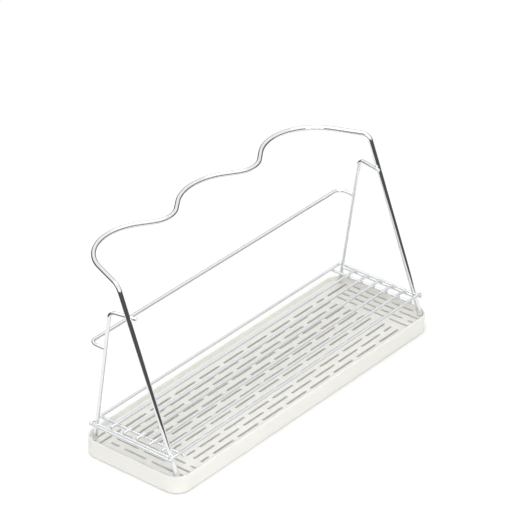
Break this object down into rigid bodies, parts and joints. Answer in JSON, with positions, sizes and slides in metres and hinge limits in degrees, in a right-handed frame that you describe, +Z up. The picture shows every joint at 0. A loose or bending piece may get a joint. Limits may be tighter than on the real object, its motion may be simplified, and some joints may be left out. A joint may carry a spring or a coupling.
{
  "type": "dish drying rack",
  "caption": "Chromed wire drying rack with a wavy leaning rail for upturned bottles, standing in a white plastic drip tray with a slotted plate.",
  "frame": {"origin": "middle of the drip tray's flat underside", "axes": "+X along the tray towards its right end, +Y towards the rear rail, +Z up"},
  "size_m": [0.404, 0.1538, 0.2075],
  "materials": {
    "white_plastic": "satin moulded",
    "chromed_wire": "bright chrome plate",
    "foot_plastic": "soft gloss"
  },
  "bodies": {
    "tray": {"tray_pan": "white_plastic"},
    "plate": {"drip_plate": "white_plastic"},
    "rack": {"front_frame": "chromed_wire", "rear_rail": "chromed_wire", "shelf_wire_1": "chromed_wire", "shelf_wire_2": "chromed_wire", "shelf_wire_3": "chromed_wire", "shelf_wire_4": "chromed_wire", "shelf_wire_5": "chromed_wire", "shelf_wire_6": "chromed_wire", "shelf_wire_7": "chromed_wire", "rear_leg_left": "chromed_wire", "rear_leg_right": "chromed_wire", "side_bar_left": "chromed_wire", "side_bar_right": "chromed_wire", "outer_bar_left": "chromed_wire", "outer_bar_right": "chromed_wire", "end_tie_left": "chromed_wire", "end_tie_right": "chromed_wire", "foot_cap_front_left": "foot_plastic", "foot_cap_front_right": "foot_plastic", "foot_cap_rear_left": "foot_plastic", "foot_cap_rear_right": "foot_plastic"}
  },
  "joints": [
    {"name": "plate_lift", "type": "slide", "parent": "tray", "child": "plate", "axis": [0, 0, 1], "range_m": [0, 0.03]},
    {"name": "rack_lift", "type": "slide", "parent": "plate", "child": "rack", "axis": [0, 0, 1], "range_m": [0, 0.04]}
  ]
}
